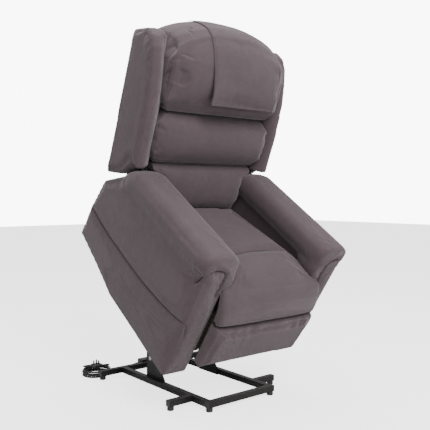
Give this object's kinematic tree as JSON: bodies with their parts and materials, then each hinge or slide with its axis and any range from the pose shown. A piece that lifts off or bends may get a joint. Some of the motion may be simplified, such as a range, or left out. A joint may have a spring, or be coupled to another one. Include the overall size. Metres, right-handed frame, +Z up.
{
  "type": "lift recliner chair",
  "caption": "Powered armchair with winged cushioned back and legrest on a linkage base that tilts it forward to help its user stand.",
  "frame": {"origin": "centre of the footprint of the whole chair on the floor, with the lift raised; lead left out", "axes": "+Z up, front of the chair towards -Y, +X to the sitter's left"},
  "size_m": [0.752, 1.0754, 1.5978],
  "materials": {
    "black_steel": "satin",
    "foot_rubber": "matt",
    "black_plastic": "moulded",
    "button_grey": "moulded",
    "lead_rubber": "matt",
    "zinc_steel": "zinc plated",
    "bright_steel": "ground",
    "frame_wood": "raw plywood",
    "webbing": "woven",
    "upholstery": "brushed weave",
    "motor_can": "satin"
  },
  "bodies": {
    "base": {"base_rail_left": "black_steel", "base_rail_right": "black_steel", "front_cross_tube": "black_steel", "rear_cross_tube": "black_steel", "front_outriggers": "black_steel", "rubber_feet": "foot_rubber", "tube_end_plugs": "black_plastic", "rear_posts": "black_steel", "post_braces": "black_steel", "fixed_pivot_bolts": "zinc_steel", "lift_gearbox": "black_plastic", "lift_motor_can": "motor_can", "motor_bracket": "black_steel", "lead_inlet_box": "black_plastic", "lead_strain_relief": "black_plastic", "mains_lead": "lead_rubber", "mains_lead_coil": "lead_rubber", "mains_plug": "black_plastic"},
    "lift_links": {"rear_lift_links": "black_steel", "torque_tube": "black_steel", "lift_drive_arm": "black_steel"},
    "front_links": {"front_lift_links": "black_steel"},
    "lift_rod": {"lift_rod": "bright_steel"},
    "seat": {"seat_side_rails": "black_steel", "seat_pivot_bolts": "zinc_steel", "front_cross_bar": "black_steel", "rear_cross_bar": "black_steel", "seat_side_boards": "frame_wood", "seat_front_board": "frame_wood", "seat_rear_board": "frame_wood", "seat_webbing": "webbing", "arm_boards": "frame_wood", "arm_cover_left": "upholstery", "arm_cover_right": "upholstery", "arm_pad_left": "upholstery", "arm_pad_right": "upholstery", "seat_cushion": "upholstery", "rear_panel": "upholstery", "legrest_brackets": "black_steel", "seat_hinge_pins": "zinc_steel", "back_brackets": "black_steel", "recline_motor": "black_plastic", "handset_pocket": "upholstery", "handset_shell": "black_plastic"},
    "legrest": {"legrest_board": "frame_wood", "legrest_pad": "upholstery", "legrest_hinge_arms": "black_steel"},
    "back": {"back_hinge_plates": "black_steel", "back_drive_arm": "black_steel", "back_frame": "frame_wood", "outer_back": "upholstery", "wing_left": "upholstery", "wing_right": "upholstery", "lumbar_cushion": "upholstery", "middle_cushion": "upholstery", "head_cushion": "upholstery", "headrest_cover": "upholstery"},
    "recline_rod": {"recline_rod_fork": "bright_steel"},
    "button_up": {"handset_button_up": "button_grey"},
    "button_down": {"handset_button_down": "button_grey"}
  },
  "joints": [
    {"name": "lift", "type": "hinge", "parent": "base", "child": "lift_links", "pos_m": [-0.007, 0.21815, 0.199], "axis": [1, 0, 0], "range_deg": [0, 40.77]},
    {"name": "seat_pivot", "type": "hinge", "parent": "lift_links", "child": "seat", "pos_m": [-0.007, -0.05813, 0.35935], "axis": [-1, 0, 0], "range_deg": [0, 74.27]},
    {"name": "front_link_pivot", "type": "hinge", "parent": "base", "child": "front_links", "pos_m": [-0.007, 0.20115, 0.1257], "axis": [1, 0, 0], "range_deg": [0, 40.8]},
    {"name": "lift_rod_slide", "type": "slide", "parent": "base", "child": "lift_rod", "axis": [0, 1, 0], "range_m": [0, 0.0732]},
    {"name": "recline", "type": "hinge", "parent": "seat", "child": "back", "pos_m": [-0.007, 0.21937, 0.77806], "axis": [-1, 0, 0], "range_deg": [0, 45]},
    {"name": "recline_rod_slide", "type": "slide", "parent": "seat", "child": "recline_rod", "axis": [0, -0.8339, -0.5519], "range_m": [0, 0.0462]},
    {"name": "legrest_swing", "type": "hinge", "parent": "seat", "child": "legrest", "pos_m": [-0.007, -0.38565, 0.49273], "axis": [-1, 0, 0], "range_deg": [0, 78]},
    {"name": "button_up_press", "type": "slide", "parent": "seat", "child": "button_up", "axis": [-1, 0, 0], "range_m": [0, 0.0015], "stiffness_N_per_m": 400},
    {"name": "button_down_press", "type": "slide", "parent": "seat", "child": "button_down", "axis": [-1, 0, 0], "range_m": [0, 0.0015], "stiffness_N_per_m": 400}
  ],
  "couplings": [
    {"joint": "seat_pivot", "follows": "lift", "ratio": 1.8217},
    {"joint": "front_link_pivot", "follows": "lift", "ratio": 1.0002},
    {"joint": "lift_rod_slide", "follows": "lift", "m_per_rad": 0.10263},
    {"joint": "recline_rod_slide", "follows": "recline", "m_per_rad": 0.058442}
  ]
}
